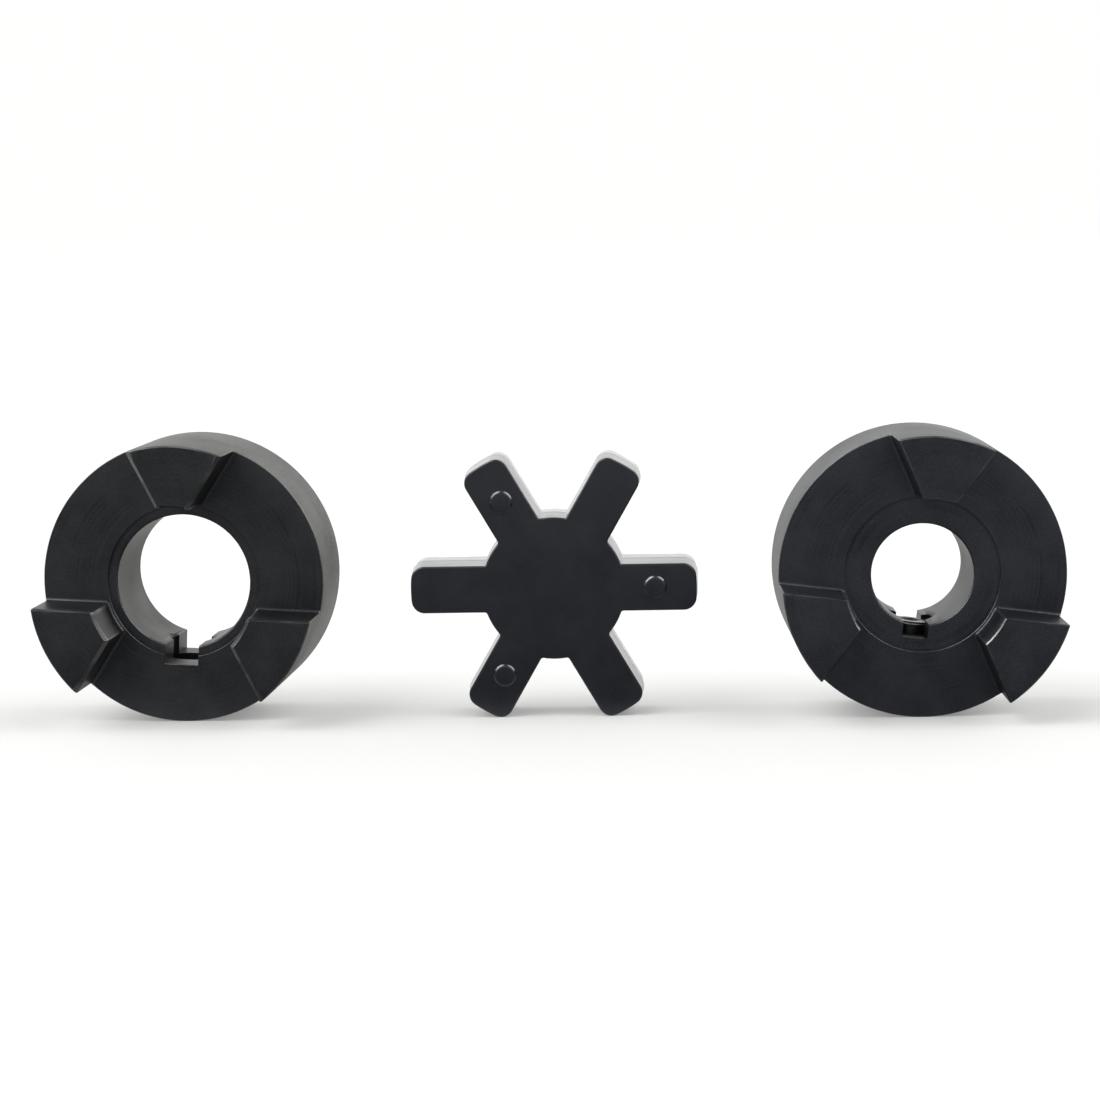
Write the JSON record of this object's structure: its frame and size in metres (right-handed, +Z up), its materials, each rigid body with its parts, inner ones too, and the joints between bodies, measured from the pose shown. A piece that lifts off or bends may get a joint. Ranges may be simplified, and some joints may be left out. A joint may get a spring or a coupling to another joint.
{
  "type": "jaw coupling",
  "caption": "Jaw coupling shown as a set: two dark iron hubs with keyed bores and set screws, and the six-legged rubber spider that goes between their jaws.",
  "frame": {"origin": "on the floor, under the middle of the set's bounding box", "axes": "+X along the row from the large-bore hub to the small-bore hub, +Z up, jaws and spider's front towards -Y"},
  "size_m": [0.1932, 0.0466, 0.0536],
  "materials": {
    "black_iron": "satin black oxide over a turned and pressed surface",
    "black_rubber": "smooth moulded, satin",
    "black_steel": "black oxide, satin"
  },
  "bodies": {
    "root": {"hub_left": "black_iron", "hub_right": "black_iron", "spider": "black_rubber", "set_screw_left": "black_steel", "set_screw_right": "black_steel"}
  },
  "joints": []
}
